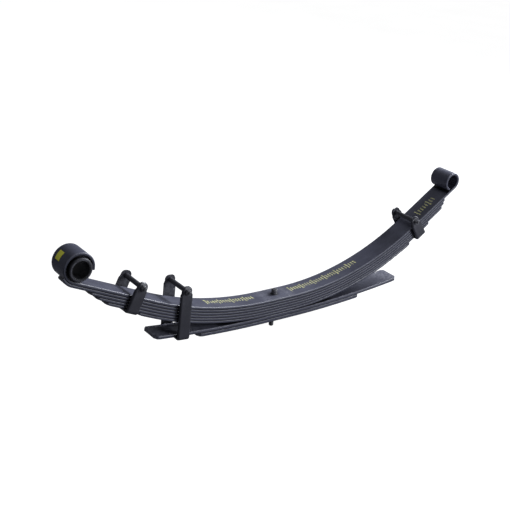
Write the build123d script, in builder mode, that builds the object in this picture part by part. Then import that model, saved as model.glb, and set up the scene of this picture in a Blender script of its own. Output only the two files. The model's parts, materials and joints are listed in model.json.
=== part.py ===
from build123d import *
import math
import os

os.makedirs("parts", exist_ok=True)

# Frame: X runs along the spring (front eye at -X, rear eye at +X), Y across the leaves, +Z up.
# The origin is where the centre bolt meets the top of the main leaf.  Lengths in mm, angles in degrees.

# Main pack: six leaves, bent to concentric arcs
LEAF_WIDTH = 60
LEAF_THICKNESS = 7
LEAF_EDGE_RADIUS = 2.4
SEAT_HALF_LENGTH = 35
FRONT_RADIUS = 835
FRONT_SWEEP = 23
REAR_RADIUS = 700
REAR_SWEEP = 34.8

# Ends of leaves 2 to 6, as lengths along the main leaf from the centre bolt
FRONT_REACH = {3: 545, 4: 522, 5: 496, 6: 405}
REAR_REACH = {2: 584, 3: 577, 4: 566, 5: 509, 6: 431}
TIP_TAPER_LENGTH = 14
TIP_THINNING = 0.2
TIP_CORNER = 6

# Overload leaves, flatter and thicker
OVERLOAD_FRONT_RADIUS = 3000
OVERLOAD_REAR_RADIUS = 2700
OVERLOAD_THICKNESS = {"upper": 9, "lower": 10}
OVERLOAD_FRONT = {"upper": 355, "lower": 238}
OVERLOAD_REAR = {"upper": 392, "lower": 262}
OVERLOAD_CORNER = 8

# Eyes, both rolled upwards
FRONT_EYE_STATION = 593
FRONT_EYE_BORE_RADIUS = 30
FRONT_EYE_TIP_ANGLE = -15
REAR_EYE_STATION = 623
REAR_EYE_BORE_RADIUS = 18
REAR_EYE_TIP_ANGLE = 255
WRAPPER_TIP_ANGLE = 202
WRAPPER_FAR_TIP_ANGLE = 245
WRAPPER_TIP_THICKNESS = 5
WRAPPER_TAPER_ANGLE = 20

# Front eye bush and its sleeve
BUSH_BODY_LENGTH = 50
BUSH_COLLAR_RADIUS = 27
BUSH_COLLAR_OVERHANG = 8
SLEEVE_BORE_RADIUS = 20
SLEEVE_WALL = 2.45
SLEEVE_RECESS = 0.8
RUNNING_CLEARANCE = 0.06

# Plain label on the front eye
LABEL_THICKNESS = 0.4
LABEL_LENGTH = 22
LABEL_WIDTH = 18
LABEL_ANGLE = 142
LABEL_OFFSET = 7

# Centre bolt, M12, and the shallow spot faces its head and nut sit in
CENTRE_SHANK_RADIUS = 6
CENTRE_HOLE_RADIUS = 6.25
CENTRE_HEAD_RADIUS = 7.5
CENTRE_HEAD_HEIGHT = 13
CENTRE_TAIL = 28
CENTRE_NUT_ACROSS_FLATS = 18
CENTRE_NUT_HEIGHT = 10.8
CENTRE_THREAD_PITCH = 1.75
SPOT_FACE_DEPTH = 0.5
HEAD_SPOT_RADIUS = 8.5
NUT_SPOT_RADIUS = 11.5

# Rebound clips
STRAP_WIDTH = 32
STRAP_THICKNESS = 6
STRAP_SIDE_GAP = 5.5
STRAP_EDGE_RADIUS = 4
EAR_RADIUS = 13.5
SHOULDER_DROP = 6
CLIP_BOLT_RADIUS = 4
CLIP_BOLT_HOLE = 4.3
TUBE_RADIUS = 6
TUBE_END_GAP = 0.15
RIVET_RADIUS = 4
RIVET_HEAD_RADIUS = 8
RIVET_HEAD_HEIGHT = 3.5

# Clip fasteners, M8
CLIP_NUT_ACROSS_FLATS = 13
CLIP_NUT_HEIGHT = 6.8
CLIP_HEAD_HEIGHT = 5.3
CLIP_THREAD_STUB = 3.5
CLIP_THREAD_PITCH = 1.25
THREAD_DEPTH = 0.65

half_width = LEAF_WIDTH / 2
pack_depth = 6 * LEAF_THICKNESS
overload_top = {"upper": pack_depth, "lower": pack_depth + OVERLOAD_THICKNESS["upper"]}
stack_depth = pack_depth + sum(OVERLOAD_THICKNESS.values())

main_arch = {
    "front": (FRONT_RADIUS, FRONT_SWEEP),
    "rear": (REAR_RADIUS, REAR_SWEEP),
}
overload_arch = {
    "front": (OVERLOAD_FRONT_RADIUS, 20),
    "rear": (OVERLOAD_REAR_RADIUS, 20),
}


def arch_slope(arch, station):
    """Slope of an arch, in degrees, at a length along it from the centre bolt."""
    radius, sweep = arch["front" if station < 0 else "rear"]
    bent = max(0, abs(station) - SEAT_HALF_LENGTH)
    return math.copysign(min(math.degrees(bent / radius), sweep), station)


def arch_point(arch, station, depth=0):
    """Point (x, z) on an arch, at a depth below its top face."""
    radius, sweep = arch["front" if station < 0 else "rear"]
    angle = math.radians(abs(arch_slope(arch, station)))
    flat = min(abs(station), SEAT_HALF_LENGTH)
    straight = max(0, abs(station) - SEAT_HALF_LENGTH - radius * math.radians(sweep))
    x = flat + radius * math.sin(angle) + straight * math.cos(angle) + depth * math.sin(angle)
    z = radius * (1 - math.cos(angle)) + straight * math.sin(angle) - depth * math.cos(angle)
    return math.copysign(1, station) * x, z


def arch_edge(arch, start, end, depth=0):
    """Line and arc segments along an arch, at one depth, between two stations."""
    front_bend = -SEAT_HALF_LENGTH - arch["front"][0] * math.radians(arch["front"][1])
    rear_bend = SEAT_HALF_LENGTH + arch["rear"][0] * math.radians(arch["rear"][1])
    low, high = min(start, end), max(start, end)
    bends = [b for b in (front_bend, -SEAT_HALF_LENGTH, SEAT_HALF_LENGTH, rear_bend) if low < b < high]
    stations = [low, *bends, high]
    for a, b in zip(stations, stations[1:]):
        middle = (a + b) / 2
        first, last = arch_point(arch, a, depth), arch_point(arch, b, depth)
        if abs(arch_slope(arch, a) - arch_slope(arch, b)) < 0.01:
            Line(first, last)
        else:
            ThreePointArc(first, arch_point(arch, middle, depth), last)


def eye_centre(arch, station, bore_radius):
    """Centre (x, z) of an eye rolled up from the top face at a station."""
    return arch_point(arch, station, -bore_radius)


def around(centre, radius, angle):
    """Point at an angle on a circle."""
    turn = math.radians(angle)
    return centre[0] + radius * math.cos(turn), centre[1] + radius * math.sin(turn)


def arc_around(centre, radius, start, end):
    """Arc about a centre between two angles."""
    ThreePointArc(
        around(centre, radius, start),
        around(centre, radius, (start + end) / 2),
        around(centre, radius, end),
    )


def side_plane(arch, station, depth=0):
    """Plane in side view: local x along the leaf, local y away from its top face, normal to -Y."""
    x, z = arch_point(arch, station, depth)
    slope = math.radians(arch_slope(arch, station))
    return Plane(origin=(x, 0, z), x_dir=(math.cos(slope), 0, math.sin(slope)), z_dir=(0, -1, 0))


def face_plane(arch, station, depth=0):
    """Plane lying on a leaf: local x along it, normal away from its top face."""
    side = side_plane(arch, station, depth)
    return Plane(origin=side.origin, x_dir=side.x_dir, z_dir=side.y_dir)


def section_plane(arch, station, depth=0):
    """Plane across a leaf: local x along +Y, local y away from its top face."""
    side = side_plane(arch, station, depth)
    return Plane(origin=side.origin, x_dir=(0, 1, 0), z_dir=side.x_dir)


def finish(builder, label):
    """Name a finished piece and write it."""
    builder.part.label = label
    export_step(builder.part, f"parts/{label}.step")


def leaf_outline_tapered(arch, front, rear, depth, thickness):
    """Side outline of a leaf whose underside thins towards both tips."""
    bottom = depth + thickness
    with BuildLine() as outline:
        arch_edge(arch, -front, rear, depth)
        for tip, inward in ((rear, -1), (-front, 1)):
            taper_start = arch_point(arch, tip + inward * TIP_TAPER_LENGTH, bottom)
            tip_bottom = arch_point(arch, tip, bottom - thickness * TIP_THINNING)
            Line(arch_point(arch, tip, depth), tip_bottom)
            Line(tip_bottom, taper_start)
        arch_edge(arch, -front + TIP_TAPER_LENGTH, rear - TIP_TAPER_LENGTH, bottom)
    make_face(outline.edges())


def trim_tip(arch, station, depth, corner):
    """Cut both corners off the leaf tip at a station, seen from above."""
    inward = -math.copysign(1, station)
    with BuildSketch(face_plane(arch, station, depth)) as corners:
        for side in (1, -1):
            with BuildLine():
                Polyline(
                    (-inward * 5, side * (half_width - corner)),
                    (0, side * (half_width - corner)),
                    (inward * corner, side * half_width),
                    (inward * corner, side * (half_width + 5)),
                    (-inward * 5, side * (half_width + 5)),
                    close=True,
                )
            make_face()
    extrude(corners.sketch, amount=2 * LEAF_THICKNESS, both=True, mode=Mode.SUBTRACT)


def drill(arch, station, depth, radius):
    """Bore straight through a leaf, square to its top face."""
    with BuildSketch(face_plane(arch, station, depth)) as hole:
        Circle(radius)
    extrude(hole.sketch, amount=2 * LEAF_THICKNESS, both=True, mode=Mode.SUBTRACT)


def spot_face(level, radius, amount):
    """Shallow round seat for the centre bolt, sunk into the flat of a leaf."""
    with BuildSketch(Plane.XY.offset(level)) as seat:
        Circle(radius)
    extrude(seat.sketch, amount=amount, mode=Mode.SUBTRACT)


def round_long_edges(builder):
    """Rolled edges: round every edge of the two side faces."""
    flat_across = builder.faces().filter_by(Axis.Y)
    side_faces = flat_across.filter_by(lambda f: abs(f.center().Y) > half_width - 0.01)
    fillet(side_faces.edges(), radius=LEAF_EDGE_RADIUS)


# ---------------------------------------------------------------- leaves

# Clips: the arch each one stands on, where, how deep its strap reaches, how high its bolt sits,
# and how many degrees its legs lean rearwards from square to the arch
clips = {
    "front_clip": {
        "arch": main_arch,
        "station": -428,
        "depth": 5 * LEAF_THICKNESS,
        "bolt": 25,
        "lean": 0,
        "leaf": LEAF_THICKNESS,
    },
    "middle_clip": {
        "arch": overload_arch,
        "station": -284,
        "depth": overload_top["lower"],
        "bolt": 68,
        "lean": -4,
        "leaf": OVERLOAD_THICKNESS["upper"],
    },
    "rear_clip": {
        "arch": main_arch,
        "station": 463,
        "depth": 5 * LEAF_THICKNESS,
        "bolt": 19.5,
        "lean": 0,
        "leaf": LEAF_THICKNESS,
    },
}

front_eye = eye_centre(main_arch, -FRONT_EYE_STATION, FRONT_EYE_BORE_RADIUS)
front_eye_outer = FRONT_EYE_BORE_RADIUS + LEAF_THICKNESS
front_eye_foot = 270 + arch_slope(main_arch, -FRONT_EYE_STATION)
rear_eye = eye_centre(main_arch, REAR_EYE_STATION, REAR_EYE_BORE_RADIUS)
rear_eye_outer = REAR_EYE_BORE_RADIUS + LEAF_THICKNESS
rear_eye_foot = -90 + arch_slope(main_arch, REAR_EYE_STATION)

# Main leaf: one bar rolled into an eye at each end
with BuildPart() as main_leaf:
    with BuildSketch(Plane.XZ):
        with BuildLine():
            arch_edge(main_arch, -FRONT_EYE_STATION, REAR_EYE_STATION)
            arc_around(rear_eye, REAR_EYE_BORE_RADIUS, rear_eye_foot, REAR_EYE_TIP_ANGLE)
            Line(
                around(rear_eye, REAR_EYE_BORE_RADIUS, REAR_EYE_TIP_ANGLE),
                around(rear_eye, rear_eye_outer, REAR_EYE_TIP_ANGLE),
            )
            arc_around(rear_eye, rear_eye_outer, REAR_EYE_TIP_ANGLE, rear_eye_foot)
            arch_edge(main_arch, REAR_EYE_STATION, -FRONT_EYE_STATION, LEAF_THICKNESS)
            arc_around(front_eye, front_eye_outer, front_eye_foot, FRONT_EYE_TIP_ANGLE)
            Line(
                around(front_eye, front_eye_outer, FRONT_EYE_TIP_ANGLE),
                around(front_eye, FRONT_EYE_BORE_RADIUS, FRONT_EYE_TIP_ANGLE),
            )
            arc_around(front_eye, FRONT_EYE_BORE_RADIUS, FRONT_EYE_TIP_ANGLE, front_eye_foot)
        make_face()
    extrude(amount=half_width, both=True)
    drill(main_arch, 0, 0, CENTRE_HOLE_RADIUS)
    spot_face(0, HEAD_SPOT_RADIUS, -SPOT_FACE_DEPTH)
    round_long_edges(main_leaf)
finish(main_leaf, "main_leaf")

# Wrapper leaf: its front end follows the outside of the front eye
wrapper_outer = front_eye_outer + LEAF_THICKNESS
wrapper_tip_outer = front_eye_outer + WRAPPER_TIP_THICKNESS
wrapper_taper_start = WRAPPER_TIP_ANGLE + WRAPPER_TAPER_ANGLE
skew_middle = (WRAPPER_TIP_ANGLE + WRAPPER_FAR_TIP_ANGLE) / 2
skew_turn = math.radians(skew_middle)
skew_rise = front_eye_outer * math.sin(math.radians(WRAPPER_FAR_TIP_ANGLE - skew_middle))
skew_spot = around(front_eye, front_eye_outer, skew_middle)
skew_plane = Plane(
    origin=(skew_spot[0], 0, skew_spot[1]),
    x_dir=(0, 1, 0),
    z_dir=(math.cos(skew_turn), 0, math.sin(skew_turn)),
)
with BuildPart() as wrapper_leaf:
    with BuildSketch(Plane.XZ):
        with BuildLine():
            rear = REAR_REACH[2]
            tip_bottom = arch_point(main_arch, rear, (2 - TIP_THINNING) * LEAF_THICKNESS)
            arch_edge(main_arch, -FRONT_EYE_STATION, rear, LEAF_THICKNESS)
            Line(arch_point(main_arch, rear, LEAF_THICKNESS), tip_bottom)
            Line(tip_bottom, arch_point(main_arch, rear - TIP_TAPER_LENGTH, 2 * LEAF_THICKNESS))
            arch_edge(main_arch, rear - TIP_TAPER_LENGTH, -FRONT_EYE_STATION, 2 * LEAF_THICKNESS)
            arc_around(front_eye, wrapper_outer, front_eye_foot, wrapper_taper_start)
            Line(
                around(front_eye, wrapper_outer, wrapper_taper_start),
                around(front_eye, wrapper_tip_outer, WRAPPER_TIP_ANGLE),
            )
            Line(
                around(front_eye, wrapper_tip_outer, WRAPPER_TIP_ANGLE),
                around(front_eye, front_eye_outer, WRAPPER_TIP_ANGLE),
            )
            arc_around(front_eye, front_eye_outer, WRAPPER_TIP_ANGLE, front_eye_foot)
        make_face()
    extrude(amount=half_width, both=True)
    trim_tip(main_arch, REAR_REACH[2], LEAF_THICKNESS, TIP_CORNER)
    drill(main_arch, 0, LEAF_THICKNESS, CENTRE_HOLE_RADIUS)
    round_long_edges(wrapper_leaf)
    # The tip around the eye is cut on the skew, ending sooner on the +Y side
    with BuildSketch(skew_plane) as skew:
        with BuildLine():
            Polyline(
                (-half_width - 2, -skew_rise * (half_width + 2) / half_width),
                (half_width + 2, skew_rise * (half_width + 2) / half_width),
                (half_width + 2, -wrapper_outer),
                (-half_width - 2, -wrapper_outer),
                close=True,
            )
        make_face()
    extrude(skew.sketch, amount=2 * LEAF_THICKNESS, both=True, mode=Mode.SUBTRACT)
finish(wrapper_leaf, "wrapper_leaf")

# Leaves 3 to 6, each shorter than the one above
for number in (3, 4, 5, 6):
    depth = (number - 1) * LEAF_THICKNESS
    with BuildPart() as leaf:
        with BuildSketch(Plane.XZ):
            leaf_outline_tapered(main_arch, FRONT_REACH[number], REAR_REACH[number], depth, LEAF_THICKNESS)
        extrude(amount=half_width, both=True)
        trim_tip(main_arch, -FRONT_REACH[number], depth, TIP_CORNER)
        trim_tip(main_arch, REAR_REACH[number], depth, TIP_CORNER)
        drill(main_arch, 0, depth, CENTRE_HOLE_RADIUS)
        if number == 5:
            drill(main_arch, clips["front_clip"]["station"], depth, RIVET_RADIUS)
            drill(main_arch, clips["rear_clip"]["station"], depth, RIVET_RADIUS)
        round_long_edges(leaf)
    finish(leaf, f"leaf_{number}")

# Overload leaves, with wide trimmed tips
for level in ("upper", "lower"):
    depth = overload_top[level]
    front, rear = OVERLOAD_FRONT[level], OVERLOAD_REAR[level]
    with BuildPart() as overload_leaf:
        with BuildSketch(Plane.XZ):
            leaf_outline_tapered(overload_arch, front, rear, depth, OVERLOAD_THICKNESS[level])
        extrude(amount=half_width, both=True)
        trim_tip(overload_arch, -front, depth, OVERLOAD_CORNER)
        trim_tip(overload_arch, rear, depth, OVERLOAD_CORNER)
        drill(overload_arch, 0, depth, CENTRE_HOLE_RADIUS)
        if level == "upper":
            drill(overload_arch, clips["middle_clip"]["station"], depth, RIVET_RADIUS)
        if level == "lower":
            spot_face(-stack_depth, NUT_SPOT_RADIUS, SPOT_FACE_DEPTH)
        round_long_edges(overload_leaf)
    finish(overload_leaf, f"overload_leaf_{level}")


# ---------------------------------------------------------------- fasteners

def thread_rings(radius, pitch, top, tip):
    """Half section of a thread as rings, from its smooth end down to a rounded tip."""
    points = []
    y = top
    while y - pitch > tip + radius / 2:
        points.append((radius - THREAD_DEPTH, y - pitch / 2))
        points.append((radius, y - pitch))
        y -= pitch
    points.append((radius, tip + radius / 2))
    points.append((radius * 0.84, tip + radius / 4))
    points.append((radius * 0.5, tip))
    points.append((0, tip))
    return points


# Centre bolt: tall round head, shank through every leaf
head_seat = -SPOT_FACE_DEPTH
nut_seat = -stack_depth + SPOT_FACE_DEPTH
nut_bottom = nut_seat - CENTRE_NUT_HEIGHT
bolt_tip = -stack_depth - CENTRE_TAIL
with BuildPart() as centre_bolt:
    with BuildSketch(Plane.XZ):
        with BuildLine():
            Polyline(
                (0, CENTRE_HEAD_HEIGHT),
                (CENTRE_HEAD_RADIUS - 2, CENTRE_HEAD_HEIGHT),
                (CENTRE_HEAD_RADIUS, CENTRE_HEAD_HEIGHT - 2),
                (CENTRE_HEAD_RADIUS, head_seat),
                (CENTRE_SHANK_RADIUS, head_seat),
                (CENTRE_SHANK_RADIUS, nut_bottom),
                *thread_rings(CENTRE_SHANK_RADIUS, CENTRE_THREAD_PITCH, nut_bottom, bolt_tip),
                (0, CENTRE_HEAD_HEIGHT),
            )
        make_face()
    revolve(axis=Axis.Z)
finish(centre_bolt, "centre_bolt")


def nut(label, plane, bore_radius, across_flats, height):
    """Hexagon nut standing on a plane, corners eased at its free end."""
    with BuildPart() as piece:
        with BuildSketch(plane):
            RegularPolygon(radius=across_flats / 2, side_count=6, major_radius=False)
            Circle(bore_radius, mode=Mode.SUBTRACT)
        extrude(amount=height)
        outer = piece.faces().sort_by(Axis(plane.origin, plane.z_dir))[-1]
        chamfer(outer.outer_wire().edges(), length=0.8)
    finish(piece, label)


under_stack = Plane.XY.offset(nut_seat).rotated((180, 0, 0))
nut("centre_bolt_nut", under_stack, CENTRE_SHANK_RADIUS, CENTRE_NUT_ACROSS_FLATS, CENTRE_NUT_HEIGHT)

# ---------------------------------------------------------------- front eye bush, sleeve and label

eye_plane = Plane(origin=(front_eye[0], 0, front_eye[1]), x_dir=(1, 0, 0), z_dir=(0, -1, 0))
sleeve_radius = SLEEVE_BORE_RADIUS + SLEEVE_WALL
collar_end = half_width + BUSH_COLLAR_OVERHANG
with BuildPart() as front_eye_bush:
    with BuildSketch(eye_plane):
        Circle(FRONT_EYE_BORE_RADIUS)
    extrude(amount=BUSH_BODY_LENGTH / 2, both=True)
    with BuildSketch(eye_plane):
        Circle(BUSH_COLLAR_RADIUS)
    extrude(amount=collar_end, both=True)
    with BuildSketch(eye_plane):
        Circle(sleeve_radius + RUNNING_CLEARANCE)
    extrude(amount=collar_end, both=True, mode=Mode.SUBTRACT)
    rims = front_eye_bush.edges().filter_by(GeomType.CIRCLE)
    rims = rims.filter_by(lambda e: abs(abs(e.center().Y) - collar_end) < 0.01)
    fillet(rims.filter_by(lambda e: abs(e.radius - BUSH_COLLAR_RADIUS) < 0.01), radius=2.5)
finish(front_eye_bush, "front_eye_bush")

with BuildPart() as front_eye_sleeve:
    with BuildSketch(eye_plane):
        Circle(sleeve_radius)
        Circle(SLEEVE_BORE_RADIUS, mode=Mode.SUBTRACT)
    extrude(amount=collar_end - SLEEVE_RECESS, both=True)
    ends = front_eye_sleeve.edges().filter_by(GeomType.CIRCLE)
    chamfer(ends.filter_by(lambda e: abs(e.radius - SLEEVE_BORE_RADIUS) < 0.01), length=0.8)
finish(front_eye_sleeve, "front_eye_sleeve")

# Label: a thin curved patch on the outside of the front eye
label_half_angle = math.degrees(LABEL_LENGTH / 2 / front_eye_outer)
with BuildPart() as eye_label:
    with BuildSketch(eye_plane.offset(-LABEL_OFFSET)):
        with BuildLine():
            low, high = LABEL_ANGLE - label_half_angle, LABEL_ANGLE + label_half_angle
            outside = front_eye_outer + LABEL_THICKNESS
            arc_around((0, 0), front_eye_outer, low, high)
            Line(around((0, 0), front_eye_outer, high), around((0, 0), outside, high))
            arc_around((0, 0), outside, high, low)
            Line(around((0, 0), outside, low), around((0, 0), front_eye_outer, low))
        make_face()
    extrude(amount=LABEL_WIDTH / 2, both=True)
finish(eye_label, "eye_label")

# ---------------------------------------------------------------- rebound clips

leg_inner = half_width + STRAP_SIDE_GAP
leg_outer = leg_inner + STRAP_THICKNESS

for name, clip in clips.items():
    arch, station, depth = clip["arch"], clip["station"], clip["depth"]
    side = side_plane(arch, station)
    section = section_plane(arch, station)
    bolt_height = clip["bolt"]
    ear_top = bolt_height + EAR_RADIUS
    bottom = -depth - STRAP_THICKNESS
    shoulder = bolt_height - SHOULDER_DROP
    half_strap = STRAP_WIDTH / 2
    lean = math.tan(math.radians(clip["lean"]))
    ear_shift = lean * (bolt_height + depth)
    shoulder_shift = lean * (shoulder + depth)

    # Flat bar bent into a U under the leaves, its legs narrowing to round ears
    with BuildPart() as strap:
        with BuildSketch(section):
            with Locations((0, (ear_top + bottom) / 2)):
                block = Rectangle(2 * leg_outer, ear_top - bottom)
            fillet(block.vertices().group_by(Axis.Z)[0], radius=STRAP_THICKNESS + 3)
            with Locations((0, (ear_top + 5 - depth) / 2)):
                Rectangle(2 * leg_inner, ear_top + 5 + depth, mode=Mode.SUBTRACT)
        extrude(amount=half_strap + abs(ear_shift), both=True)
        with BuildSketch(side):
            with BuildLine():
                Polyline(
                    (ear_shift - EAR_RADIUS, bolt_height),
                    (shoulder_shift - EAR_RADIUS, shoulder + 2),
                    (shoulder_shift - half_strap, shoulder - 3),
                    (-half_strap, bottom - 1),
                    (half_strap, bottom - 1),
                    (shoulder_shift + half_strap, shoulder - 3),
                    (shoulder_shift + EAR_RADIUS, shoulder + 2),
                    (ear_shift + EAR_RADIUS, bolt_height),
                )
                ear_end = (ear_shift - EAR_RADIUS, bolt_height)
                ThreePointArc((ear_shift + EAR_RADIUS, bolt_height), (ear_shift, ear_top), ear_end)
            make_face()
        extrude(amount=leg_outer + 5, both=True, mode=Mode.INTERSECT)
        with BuildSketch(side):
            with Locations((ear_shift, bolt_height)):
                Circle(CLIP_BOLT_HOLE)
        extrude(amount=leg_outer + 5, both=True, mode=Mode.SUBTRACT)
        with BuildSketch(face_plane(arch, station, depth)):
            Circle(RIVET_RADIUS)
        extrude(amount=2 * STRAP_THICKNESS, both=True, mode=Mode.SUBTRACT)
        sides = strap.faces().filter_by(Axis.Y).filter_by(lambda f: abs(f.center().Y) > leg_outer - 0.01)
        rounded = sides.edges().filter_by(lambda e: e.geom_type != GeomType.CIRCLE or e.radius > 5)
        fillet(rounded, radius=STRAP_EDGE_RADIUS)
    finish(strap, f"{name}_strap")

    # Spacer tube, free to turn on the clip bolt
    bolt_origin = side.from_local_coords((ear_shift, bolt_height, 0))
    bolt_axis = Plane(origin=bolt_origin, x_dir=side.x_dir, z_dir=(0, -1, 0))
    with BuildPart() as tube:
        with BuildSketch(bolt_axis):
            Circle(TUBE_RADIUS)
            Circle(CLIP_BOLT_RADIUS + RUNNING_CLEARANCE, mode=Mode.SUBTRACT)
        extrude(amount=leg_inner - TUBE_END_GAP, both=True)
    finish(tube, f"{name}_spacer_tube")

    # Clip bolt: head outside the +Y ear, thread standing out of the nut on the -Y side
    head_plane = Plane(origin=bolt_origin + Vector(0, leg_outer, 0), x_dir=side.x_dir, z_dir=(0, 1, 0))
    nut_face = leg_outer + CLIP_NUT_HEIGHT
    with BuildPart() as bolt:
        with BuildSketch(head_plane):
            RegularPolygon(radius=CLIP_NUT_ACROSS_FLATS / 2, side_count=6, major_radius=False)
        extrude(amount=CLIP_HEAD_HEIGHT)
        chamfer(bolt.faces().sort_by(Axis.Y)[-1].edges(), length=0.8)
        with BuildSketch(bolt_axis):
            Circle(CLIP_BOLT_RADIUS)
        extrude(amount=nut_face + CLIP_THREAD_STUB)
        with BuildSketch(head_plane):
            Circle(CLIP_BOLT_RADIUS)
        extrude(amount=-leg_outer)
        chamfer(bolt.faces().sort_by(Axis.Y)[0].edges(), length=1)
        for ring in range(2):
            with BuildSketch(bolt_axis.offset(nut_face + 0.3 + ring * CLIP_THREAD_PITCH)):
                Circle(CLIP_BOLT_RADIUS + 1)
                Circle(CLIP_BOLT_RADIUS - THREAD_DEPTH, mode=Mode.SUBTRACT)
            extrude(amount=CLIP_THREAD_PITCH / 2, mode=Mode.SUBTRACT)
    finish(bolt, f"{name}_bolt")

    nut_plane = bolt_axis.offset(leg_outer)
    nut(f"{name}_nut", nut_plane, CLIP_BOLT_RADIUS, CLIP_NUT_ACROSS_FLATS, CLIP_NUT_HEIGHT)

    # Rivet through the strap and the lowest leaf inside it, its round head underneath
    leaf_face = face_plane(arch, station, depth)
    with BuildPart() as rivet:
        with BuildSketch(leaf_face.offset(-STRAP_THICKNESS)):
            Circle(RIVET_RADIUS)
        extrude(amount=STRAP_THICKNESS + clip["leaf"])
        with BuildSketch(leaf_face.offset(-STRAP_THICKNESS)):
            Circle(RIVET_HEAD_RADIUS)
        extrude(amount=-RIVET_HEAD_HEIGHT)
        rims = rivet.edges().filter_by(GeomType.CIRCLE).filter_by(lambda e: e.radius > RIVET_RADIUS + 1)
        lowest_rim = rims.sort_by(Axis(leaf_face.origin, leaf_face.z_dir))[0]
        fillet(lowest_rim, radius=RIVET_HEAD_HEIGHT - 0.4)
    finish(rivet, f"{name}_rivet")
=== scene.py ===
import json
import math

import bpy
from mathutils import Matrix, Vector


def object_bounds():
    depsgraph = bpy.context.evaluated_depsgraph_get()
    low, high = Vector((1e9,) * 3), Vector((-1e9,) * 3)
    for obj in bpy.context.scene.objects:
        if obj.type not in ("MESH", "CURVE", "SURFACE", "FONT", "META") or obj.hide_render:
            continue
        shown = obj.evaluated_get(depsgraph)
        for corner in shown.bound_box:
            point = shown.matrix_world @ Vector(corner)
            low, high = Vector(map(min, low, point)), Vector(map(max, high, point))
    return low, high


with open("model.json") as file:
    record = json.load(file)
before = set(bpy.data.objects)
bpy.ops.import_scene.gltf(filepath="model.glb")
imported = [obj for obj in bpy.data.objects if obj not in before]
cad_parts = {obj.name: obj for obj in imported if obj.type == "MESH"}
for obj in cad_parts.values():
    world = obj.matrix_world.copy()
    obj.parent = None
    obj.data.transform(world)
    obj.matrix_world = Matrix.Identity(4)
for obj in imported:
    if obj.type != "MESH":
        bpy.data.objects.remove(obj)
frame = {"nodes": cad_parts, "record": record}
cad_low, cad_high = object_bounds()
nodes = frame["nodes"]

# Colours
PAINT_DARK = (0.058, 0.060, 0.088)
PAINT_LIGHT = (0.073, 0.076, 0.110)
CLIP_DARK = (0.026, 0.026, 0.035)
CLIP_LIGHT = (0.037, 0.037, 0.048)
# Steel showing through on edges, also the colour of the painted highlight on the upper leaf edges
WORN_STEEL_AND_HIGHLIGHT = (0.24, 0.24, 0.28)
BARE_STEEL = (0.50, 0.50, 0.53)
# Painted shade for the seams between pieces and under the lower rounded edges
SEAM_SHADE = (0.004, 0.004, 0.006)
MARK_COLOUR = (0.80, 0.78, 0.36)
LIGHT_TINT = (0.92, 0.95, 1.0)
ROOM_TINT = (0.90, 0.93, 1.0, 1)
WHITE = (1, 1, 1, 1)

# Painted scale on the main leaf, in metres: each row's start, end and middle across the leaf
TICK_PITCH = 0.0075
TICK_WIDTH_SHARE = 0.42
SHORT_TICK = 0.014
LONG_TICK = 0.024
TICKS_PER_LONG = 5.0
TICK_RAGGEDNESS = 0.0012
TICK_ROWS = [
    (-0.205, -0.060, 0.004),
    (0.050, 0.268, 0.003),
    (0.465, 0.523, -0.004),
]
UPWARD = 0.6

# Wear, dust, painted highlights on edges and painted shade in seams: a pair holds the values at which a
# mask starts and is complete
EDGE_POINTINESS = (0.52, 0.58)
CHIP_THRESHOLD = 0.70
OPEN_SKY = (0.60, 0.97)
LEAF_CREVICE = 0.010
BUSH_CREVICE = 0.008
ROUNDING_START = (0.3, 0.55)
ROUNDING_END = (0.985, 0.90)
# Strength of the painted highlight on the upper rounded edges
UPPER_EDGE_HIGHLIGHT = 0.34
DUST = 0.25
DUST_BRIGHTNESS = 2.6


# ---------------------------------------------------------------- shader helpers

class Shader:
    """A material being built: adds nodes and links them by socket name."""

    def __init__(self, name, roughness):
        self.material = bpy.data.materials.new(name)
        self.material.use_nodes = True
        self.tree = self.material.node_tree
        self.surface = self.tree.nodes["Principled BSDF"]
        self.surface.inputs["Roughness"].default_value = roughness
        coordinates = self.tree.nodes.new("ShaderNodeTexCoord").outputs
        self.place = coordinates["Object"]
        self.normal = coordinates["Normal"]

    def node(self, kind, inputs=None, **settings):
        made = self.tree.nodes.new(kind)
        for key, value in settings.items():
            setattr(made, key, value)
        for socket, value in (inputs or {}).items():
            if isinstance(value, bpy.types.NodeSocket):
                self.tree.links.new(value, made.inputs[socket])
            else:
                made.inputs[socket].default_value = value
        return made

    def split(self, vector):
        return self.node("ShaderNodeSeparateXYZ", {"Vector": vector}).outputs

    def noise(self, scale, detail=4.0, stretch=(1, 1, 1)):
        spot = self.node("ShaderNodeMapping", {"Vector": self.place, "Scale": stretch}).outputs[0]
        inputs = {"Vector": spot, "Scale": scale, "Detail": detail, "Roughness": 0.55}
        return self.node("ShaderNodeTexNoise", inputs).outputs["Fac"]

    def ramp(self, factor, low, high, start=0.0, end=1.0):
        inputs = {"Value": factor, "From Min": low, "From Max": high, "To Min": start, "To Max": end}
        return self.node("ShaderNodeMapRange", inputs).outputs[0]

    def math(self, operation, a, b=0.0):
        return self.node("ShaderNodeMath", {0: a, 1: b}, operation=operation).outputs[0]

    def mix(self, factor, first, second):
        made = self.node("ShaderNodeMix", data_type="RGBA")
        for index, value in ((0, factor), (6, first), (7, second)):
            if isinstance(value, bpy.types.NodeSocket):
                self.tree.links.new(value, made.inputs[index])
            else:
                made.inputs[index].default_value = value if index == 0 else (*value, 1)
        return made.outputs[2]

    def set(self, socket, value):
        self.tree.links.new(value, self.surface.inputs[socket])

    def bump(self, height, distance, strength, under=None):
        inputs = {"Height": height, "Distance": distance, "Strength": strength}
        if under is not None:
            inputs["Normal"] = under
        return self.node("ShaderNodeBump", inputs).outputs[0]


# ---------------------------------------------------------------- finishes

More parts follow.
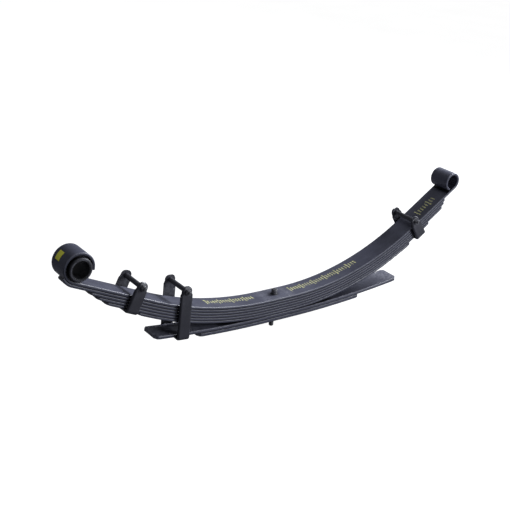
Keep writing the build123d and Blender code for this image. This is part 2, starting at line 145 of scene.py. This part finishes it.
def painted_steel(name, dark, light, roughness):
    """Satin paint over rolled steel: mottled colour, faint orange peel, scuffs and dusty specks."""
    shader = Shader(name, roughness)
    mottle = shader.ramp(shader.noise(14.0, stretch=(1, 3, 3)), 0.35, 0.65)
    colour = shader.mix(mottle, dark, light)
    dusty = tuple(DUST_BRIGHTNESS * c for c in light)
    speck = shader.ramp(shader.noise(420.0, 2.0), 0.66, 0.76)
    colour = shader.mix(shader.math("MULTIPLY", speck, DUST), colour, dusty)
    streak = shader.ramp(shader.noise(26.0, 6.0, stretch=(1, 14, 14)), 0.62, 0.78)
    colour = shader.mix(shader.math("MULTIPLY", streak, DUST), colour, dusty)
    patch = shader.noise(30.0, stretch=(1, 2, 2))
    shader.set("Roughness", shader.ramp(patch, 0.3, 0.7, roughness - 0.06, roughness + 0.10))
    coarse = shader.bump(shader.noise(120.0), 0.0006, 0.25)
    shader.set("Normal", shader.bump(shader.noise(700.0, 2.0), 0.0002, 0.35, coarse))
    shader.colour = colour
    return shader


def plain(name, colour, roughness):
    """One colour broken up by fine noise in tone, roughness and height."""
    shader = Shader(name, roughness)
    darker = tuple(0.75 * c for c in colour)
    lighter = tuple(1.25 * c for c in colour)
    shader.colour = shader.mix(shader.noise(50.0), darker, lighter)
    patch = shader.noise(100.0)
    shader.set("Roughness", shader.ramp(patch, 0.3, 0.7, roughness - 0.08, roughness + 0.08))
    shader.set("Normal", shader.bump(shader.noise(400.0), 0.0002, 0.5))
    return shader


def worn_and_highlit_edges(shader, amount, edge_tone):
    """Lighter along the edges, broken up by noise: partly thin paint, partly a painted highlight, with a
    few chips down to the steel.
    """
    edge = shader.node("ShaderNodeNewGeometry").outputs["Pointiness"]
    edge_mask = shader.ramp(edge, *EDGE_POINTINESS)
    patchy = shader.ramp(shader.noise(180.0), 0.35, 0.6)
    # Partly paint gone thin, partly a painted highlight on the edges
    worn_and_lit = shader.math("MULTIPLY", shader.math("MULTIPLY", edge_mask, patchy), amount)
    shader.colour = shader.mix(worn_and_lit, shader.colour, edge_tone)
    flaked = shader.math("GREATER_THAN", shader.noise(75.0, 2.0), CHIP_THRESHOLD)
    chip = shader.math("MULTIPLY", shader.math("MULTIPLY", edge_mask, flaked), amount)
    shader.colour = shader.mix(chip, shader.colour, BARE_STEEL)


def dark_crevices(shader, distance):
    """Painted shade: the colour darkened where two pieces nearly meet."""
    inputs = {"Distance": distance}
    open_sky = shader.node("ShaderNodeAmbientOcclusion", inputs, samples=8).outputs["AO"]
    shader.colour = shader.mix(shader.ramp(open_sky, *OPEN_SKY), SEAM_SHADE, shader.colour)


def edge_highlight_and_shade(shader):
    """The rounded long edges of a flat bar: a painted highlight on the upper ones, painted shade under
    the lower ones.
    """
    facing = shader.split(shader.normal)
    sideways = shader.math("ABSOLUTE", facing[1])
    starts = shader.ramp(sideways, *ROUNDING_START)
    rounding = shader.math("MULTIPLY", starts, shader.ramp(sideways, *ROUNDING_END))
    # Painted highlight on the rounded edges that face up
    upper = shader.math("MULTIPLY", rounding, shader.ramp(facing[2], 0.1, 0.4, 0.0, UPPER_EDGE_HIGHLIGHT))
    patchy = shader.ramp(shader.noise(60.0), 0.3, 0.7, 0.6, 1.0)
    shader.colour = shader.mix(shader.math("MULTIPLY", upper, patchy), shader.colour, WORN_STEEL_AND_HIGHLIGHT)
    # Painted shade on the rounded edges that face down
    lower = shader.math("MULTIPLY", rounding, shader.ramp(facing[2], -0.1, -0.4))
    shader.colour = shader.mix(lower, shader.colour, SEAM_SHADE)


def tick_marks(shader, start, end, middle):
    """One row of even ticks along the leaf, every fifth one longer."""
    place = shader.split(shader.place)
    ragged = shader.ramp(shader.noise(260.0, 3.0), 0.0, 1.0, -TICK_RAGGEDNESS, TICK_RAGGEDNESS)
    along = shader.math("ADD", place[0], ragged)
    pitch = (end - start) / round((end - start) / TICK_PITCH)
    step = shader.math("DIVIDE", shader.math("SUBTRACT", along, start), pitch)
    turn = shader.math("FLOORED_MODULO", shader.math("FLOOR", step), TICKS_PER_LONG)
    is_long = shader.math("LESS_THAN", turn, 0.5)
    reach = shader.ramp(is_long, 0.0, 1.0, SHORT_TICK / 2, LONG_TICK / 2)
    across = shader.math("ABSOLUTE", shader.math("SUBTRACT", place[1], middle))
    in_bar = shader.math("LESS_THAN", shader.math("FRACT", step), TICK_WIDTH_SHARE)
    in_reach = shader.math("LESS_THAN", across, reach)
    in_row = shader.math("COMPARE", along, (start + end) / 2)
    in_row.node.inputs[2].default_value = (end - start) / 2
    return shader.math("MULTIPLY", shader.math("MULTIPLY", in_bar, in_reach), in_row)


def leaf_finish(name):
    """Satin blue-grey paint, thin and with a painted highlight on the upper edges, painted shade in the
    seams and under the lower edges.
    """
    shader = painted_steel(name, PAINT_DARK, PAINT_LIGHT, 0.40)
    worn_and_highlit_edges(shader, 0.6, WORN_STEEL_AND_HIGHLIGHT)
    dark_crevices(shader, LEAF_CREVICE)
    edge_highlight_and_shade(shader)
    return shader


def marked_leaf_finish(name):
    """The leaf finish with a scuffed painted scale on the faces that look up."""
    shader = leaf_finish(name)
    marks, *other_rows = [tick_marks(shader, *row) for row in TICK_ROWS]
    for row in other_rows:
        marks = shader.math("MAXIMUM", marks, row)
    looks_up = shader.math("GREATER_THAN", shader.split(shader.normal)[2], UPWARD)
    marks = shader.math("MULTIPLY", marks, looks_up)
    rubbed_thin = shader.ramp(shader.noise(520.0, 3.0), 0.40, 0.56)
    marks = shader.math("MULTIPLY", marks, rubbed_thin)
    shader.colour = shader.mix(marks, shader.colour, MARK_COLOUR)
    return shader


def clip_finish(name):
    """Near-black satin paint, lighter along the edges: partly thin paint, partly a painted highlight."""
    shader = painted_steel(name, CLIP_DARK, CLIP_LIGHT, 0.42)
    worn_and_highlit_edges(shader, 0.5, (0.12, 0.12, 0.14))
    return shader


def fastener_finish(name):
    """Black bolts, nuts and rivets, bright on the corners: partly thin paint, partly a painted
    highlight.
    """
    shader = plain(name, (0.065, 0.065, 0.072), 0.34)
    worn_and_highlit_edges(shader, 0.6, (0.20, 0.20, 0.22))
    return shader


def rubber_finish(name):
    """Dull black rubber with a painted highlight on the rims and painted shade beside the eye."""
    shader = plain(name, (0.030, 0.030, 0.038), 0.50)
    worn_and_highlit_edges(shader, 0.7, (0.16, 0.16, 0.19))
    dark_crevices(shader, BUSH_CREVICE)
    return shader


marked_paint = marked_leaf_finish("marked_paint")
slot_material = {
    "leaf_paint": leaf_finish("leaf_paint"),
    "clip_paint": clip_finish("clip_paint"),
    "fastener_paint": fastener_finish("fastener_paint"),
    "tube_steel": plain("tube_steel", (0.050, 0.050, 0.060), 0.42),
    "bush_rubber": rubber_finish("bush_rubber"),
    "sleeve_steel": plain("sleeve_steel", (0.030, 0.030, 0.034), 0.42),
    "label_film": plain("label_film", (1.0, 0.98, 0.10), 0.5),
}
for shader in (marked_paint, *slot_material.values()):
    shader.set("Base Color", shader.colour)
for part in frame["record"]["subparts"]:
    mesh = nodes[part["node"]].data
    mesh.materials.clear()
    shader = marked_paint if part["node"] == "main_leaf" else slot_material[part["material_slot"]]
    mesh.materials.append(shader.material)


# ---------------------------------------------------------------- floor and room

FLOOR_GAP = 0.001
FLOOR_REACH = 30.0
FLOOR_BRIGHTNESS = (0.97, 0.99)
FLOOR_UNSEEN = (0.16, 0.16, 0.18)
FLOOR_SEEN = (0.12, 0.12, 0.12)
ROOM_LIGHT = 0.09

# The floor and the backdrop are white to the eye. The spring is lit by a darker, slightly blue room.
level = cad_low.z - FLOOR_GAP
quarters = ((-1, -1), (1, -1), (1, 1), (-1, 1))
corners = [(FLOOR_REACH * x, FLOOR_REACH * y, level) for x, y in quarters]
floor_mesh = bpy.data.meshes.new("floor")
floor_mesh.from_pydata(corners, [], [(0, 1, 2, 3)])
floor = bpy.data.objects.new("floor", floor_mesh)
bpy.context.scene.collection.objects.link(floor)
floor_finish = Shader("floor_finish", 0.9)
seen = floor_finish.node("ShaderNodeLightPath").outputs["Is Camera Ray"]
floor_finish.set("Base Color", floor_finish.mix(seen, FLOOR_UNSEEN, FLOOR_SEEN))
glow = floor_finish.ramp(floor_finish.noise(3.0), 0.3, 0.7, *FLOOR_BRIGHTNESS)
floor_finish.set("Emission Strength", floor_finish.math("MULTIPLY", seen, glow))
floor_finish.surface.inputs["Emission Color"].default_value = WHITE
# Clear from below, so that the underside of the spring can be viewed
from_below = floor_finish.node("ShaderNodeNewGeometry").outputs["Backfacing"]
floor_finish.set("Alpha", floor_finish.math("SUBTRACT", 1.0, from_below))
floor_mesh.materials.append(floor_finish.material)

world = bpy.data.worlds.new("studio")
bpy.context.scene.world = world
world.use_nodes = True
room = world.node_tree
backdrop = room.nodes["Background"]
backdrop.inputs["Color"].default_value = WHITE
backdrop.inputs["Strength"].default_value = 1.0
ambient = room.nodes.new("ShaderNodeBackground")
ambient.inputs["Color"].default_value = ROOM_TINT
ambient.inputs["Strength"].default_value = ROOM_LIGHT
ray = room.nodes.new("ShaderNodeLightPath")
chosen = room.nodes.new("ShaderNodeMixShader")
room.links.new(ray.outputs["Is Camera Ray"], chosen.inputs[0])
room.links.new(ambient.outputs[0], chosen.inputs[1])
room.links.new(backdrop.outputs[0], chosen.inputs[2])
room.links.new(chosen.outputs[0], room.nodes["World Output"].inputs["Surface"])


# ---------------------------------------------------------------- lights and camera

def softbox(name, place, aim, size, power):
    """Square area light at a place, facing a point: metres and watts."""
    light = bpy.data.lights.new(name, "AREA")
    light.size = size
    light.energy = power
    light.color = LIGHT_TINT
    lamp = bpy.data.objects.new(name, light)
    bpy.context.scene.collection.objects.link(lamp)
    lamp.location = place
    lamp.rotation_mode = "QUATERNION"
    lamp.rotation_quaternion = (Vector(aim) - Vector(place)).to_track_quat("-Z", "Y")
    lamp.visible_camera = False


softbox("key", place=(2.6, 0.4, 1.8), aim=(0, 0, 0.1), size=1.3, power=165)
softbox("top_fill", place=(-0.3, 0.5, 2.9), aim=(0.3, 0, 0.1), size=1.4, power=14)
softbox("side_fill", place=(1.9, -2.4, 0.9), aim=(0.1, 0, 0.0), size=1.6, power=66)

CAMERA_PLACE = Vector((-1.4415, -1.7646, 1.0426))
CAMERA_AIM = Vector((-0.0713, 0.0, 0.1172))
CAMERA_ROLL = math.radians(5.28)
CAMERA_LENS = 70.6
SENSOR_WIDTH = 36.0
CAMERA_CLIP_END = 100.0

camera = bpy.data.cameras.new("camera")
camera.lens = CAMERA_LENS
camera.sensor_width = SENSOR_WIDTH
camera.clip_end = CAMERA_CLIP_END
camera_rig = bpy.data.objects.new("camera", camera)
bpy.context.scene.collection.objects.link(camera_rig)
aimed = (CAMERA_AIM - CAMERA_PLACE).to_track_quat("-Z", "Y").to_matrix().to_4x4()
rolled = Matrix.Rotation(CAMERA_ROLL, 4, "Z")
camera_rig.matrix_world = Matrix.Translation(CAMERA_PLACE) @ aimed @ rolled
bpy.context.scene.camera = camera_rig
bpy.context.scene.view_settings.view_transform = "Standard"
